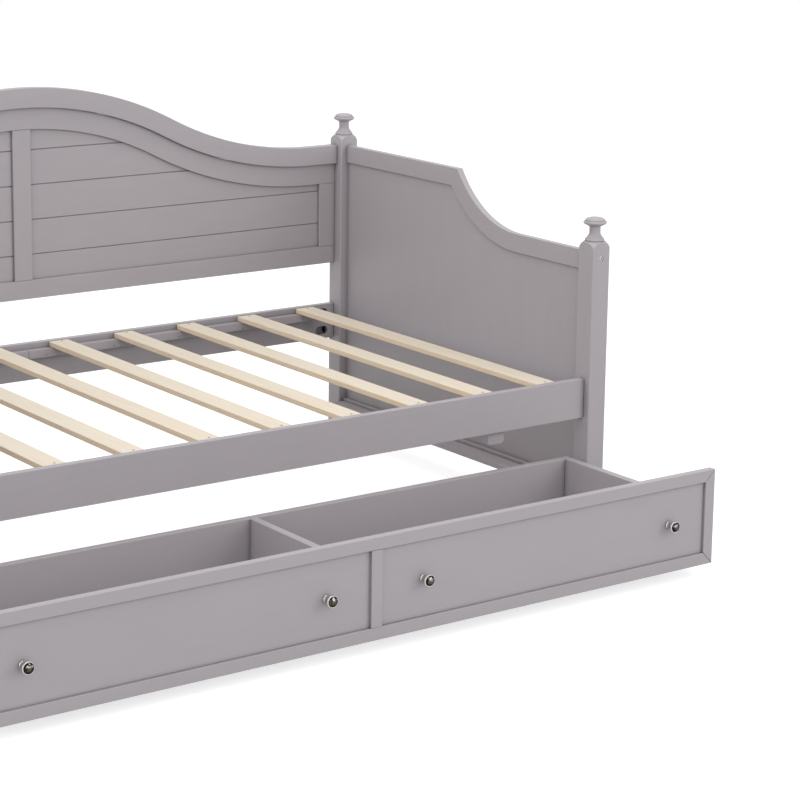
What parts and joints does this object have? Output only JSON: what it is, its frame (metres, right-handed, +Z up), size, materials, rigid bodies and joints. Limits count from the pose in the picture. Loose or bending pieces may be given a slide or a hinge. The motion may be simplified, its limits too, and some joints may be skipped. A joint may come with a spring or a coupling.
{
  "type": "storage daybed",
  "caption": "Painted wooden daybed with a serpentine grooved back, swept side panels, a slatted base and a wide rolling storage drawer under it.",
  "frame": {"origin": "on the floor under the centre of the whole object's bounding box, with the drawer pulled out", "axes": "+X to the bed's right along its length, +Y from the open front to the back, +Z up"},
  "size_m": [2.041, 1.6048, 1.025],
  "materials": {
    "painted_wood": "satin mauve-grey paint over wood, edges eased",
    "pine": "bare planed pine",
    "knob_metal": "polished nickel plate",
    "plated_steel": "zinc plate",
    "caster_tread": "black moulded plastic"
  },
  "bodies": {
    "bed_frame": {"post_front_left": "painted_wood", "finial_front_left": "painted_wood", "post_front_right": "painted_wood", "finial_front_right": "painted_wood", "post_back_left": "painted_wood", "finial_back_left": "painted_wood", "post_back_right": "painted_wood", "finial_back_right": "painted_wood", "crest_cap": "painted_wood", "back_curved_rail": "painted_wood", "back_bottom_rail": "painted_wood", "back_end_stile_left": "painted_wood", "back_end_stile_right": "painted_wood", "back_centre_stile": "painted_wood", "back_panel_left": "painted_wood", "back_panel_right": "painted_wood", "side_top_rail_left": "painted_wood", "side_panel_left": "painted_wood", "side_bottom_rail_left": "painted_wood", "drawer_guide_left": "painted_wood", "side_top_rail_right": "painted_wood", "side_panel_right": "painted_wood", "side_bottom_rail_right": "painted_wood", "drawer_guide_right": "painted_wood", "bed_rail_front": "painted_wood", "slat_cleat_front": "painted_wood", "bed_rail_back": "painted_wood", "slat_cleat_back": "painted_wood", "slat_01": "pine", "slat_02": "pine", "slat_03": "pine", "slat_04": "pine", "slat_05": "pine", "slat_06": "pine", "slat_07": "pine", "slat_08": "pine", "slat_09": "pine", "slat_10": "pine"},
    "drawer": {"drawer_top_rail": "painted_wood", "drawer_bottom_rail": "painted_wood", "drawer_end_stile_left": "painted_wood", "drawer_end_stile_right": "painted_wood", "drawer_front_panel": "painted_wood", "drawer_side_left": "painted_wood", "drawer_side_right": "painted_wood", "drawer_back": "painted_wood", "drawer_divider": "painted_wood", "drawer_base": "painted_wood", "knob_1": "knob_metal", "knob_2": "knob_metal", "knob_3": "knob_metal", "knob_4": "knob_metal", "caster_housing_front_left": "plated_steel", "caster_housing_front_right": "plated_steel", "caster_housing_back_left": "plated_steel", "caster_housing_back_right": "plated_steel"},
    "wheel_front_left": {"caster_wheel_front_left": "caster_tread"},
    "wheel_front_right": {"caster_wheel_front_right": "caster_tread"},
    "wheel_back_left": {"caster_wheel_back_left": "caster_tread"},
    "wheel_back_right": {"caster_wheel_back_right": "caster_tread"}
  },
  "joints": [
    {"name": "drawer_slide", "type": "slide", "parent": "bed_frame", "child": "drawer", "axis": [0, 1, 0], "range_m": [0, 0.48]},
    {"name": "wheel_front_left_spin", "type": "hinge", "parent": "drawer", "child": "wheel_front_left", "pos_m": [-0.8355, -0.7028, 0.02], "axis": [1, 0, 0], "continuous": true},
    {"name": "wheel_front_right_spin", "type": "hinge", "parent": "drawer", "child": "wheel_front_right", "pos_m": [0.8355, -0.7028, 0.02], "axis": [1, 0, 0], "continuous": true},
    {"name": "wheel_back_left_spin", "type": "hinge", "parent": "drawer", "child": "wheel_back_left", "pos_m": [-0.8355, -0.3531, 0.02], "axis": [1, 0, 0], "continuous": true},
    {"name": "wheel_back_right_spin", "type": "hinge", "parent": "drawer", "child": "wheel_back_right", "pos_m": [0.8355, -0.3531, 0.02], "axis": [1, 0, 0], "continuous": true}
  ],
  "couplings": [
    {"joint": "wheel_front_left_spin", "follows": "drawer_slide", "rad_per_m": -50},
    {"joint": "wheel_front_right_spin", "follows": "drawer_slide", "rad_per_m": -50},
    {"joint": "wheel_back_left_spin", "follows": "drawer_slide", "rad_per_m": -50},
    {"joint": "wheel_back_right_spin", "follows": "drawer_slide", "rad_per_m": -50}
  ]
}
